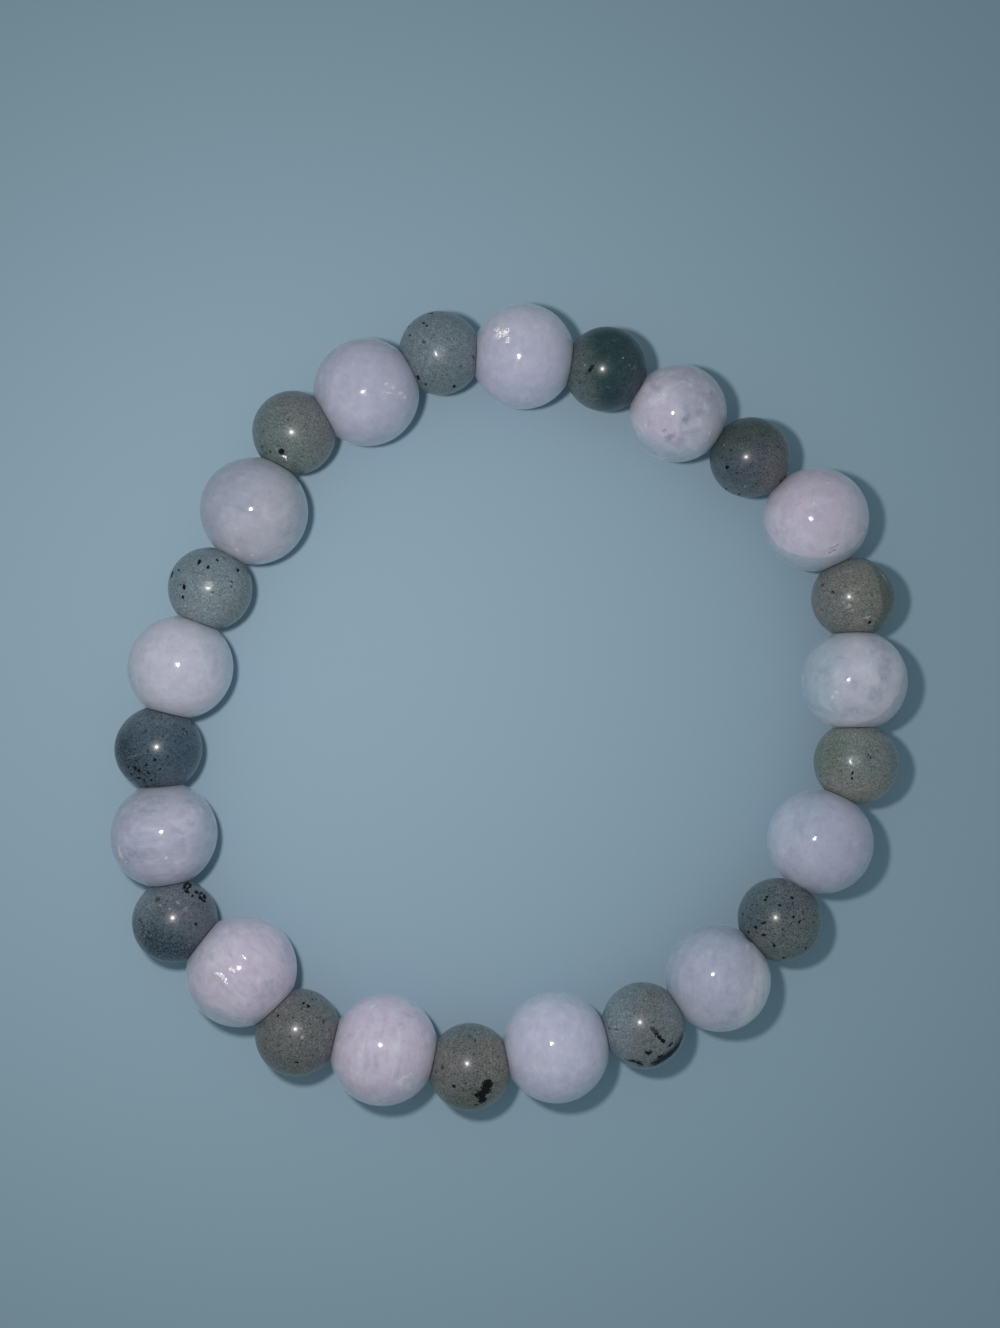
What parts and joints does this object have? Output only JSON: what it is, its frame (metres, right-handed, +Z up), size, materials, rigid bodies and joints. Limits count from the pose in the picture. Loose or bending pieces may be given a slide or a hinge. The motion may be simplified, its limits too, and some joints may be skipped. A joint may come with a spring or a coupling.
{
  "type": "beaded stretch bracelet",
  "caption": "Closed loop of round polished stone beads, larger milky white and smaller speckled grey in turn, on an elastic thread.",
  "frame": {"origin": "on the ground under the middle of the loop's outline, as the bracelet lies flat", "axes": "+Z up through the wrist opening, +Y towards the top of the loop, +X to the right as seen from above"},
  "size_m": [0.0758, 0.0767, 0.0102],
  "materials": {
    "white_stone": "polished, milky and slightly translucent",
    "grey_stone": "polished, grey with fine dark speckles",
    "elastic": "smooth and clear"
  },
  "bodies": {
    "root": {"white_bead_01": "white_stone", "grey_bead_01": "grey_stone", "white_bead_02": "white_stone", "grey_bead_02": "grey_stone", "white_bead_03": "white_stone", "grey_bead_03": "grey_stone", "white_bead_04": "white_stone", "grey_bead_04": "grey_stone", "white_bead_05": "white_stone", "grey_bead_05": "grey_stone", "white_bead_06": "white_stone", "grey_bead_06": "grey_stone", "white_bead_07": "white_stone", "grey_bead_07": "grey_stone", "white_bead_08": "white_stone", "grey_bead_08": "grey_stone", "white_bead_09": "white_stone", "grey_bead_09": "grey_stone", "white_bead_10": "white_stone", "grey_bead_10": "grey_stone", "white_bead_11": "white_stone", "grey_bead_11": "grey_stone", "white_bead_12": "white_stone", "grey_bead_12": "grey_stone", "white_bead_13": "white_stone", "grey_bead_13": "grey_stone", "elastic_thread": "elastic"}
  },
  "joints": []
}
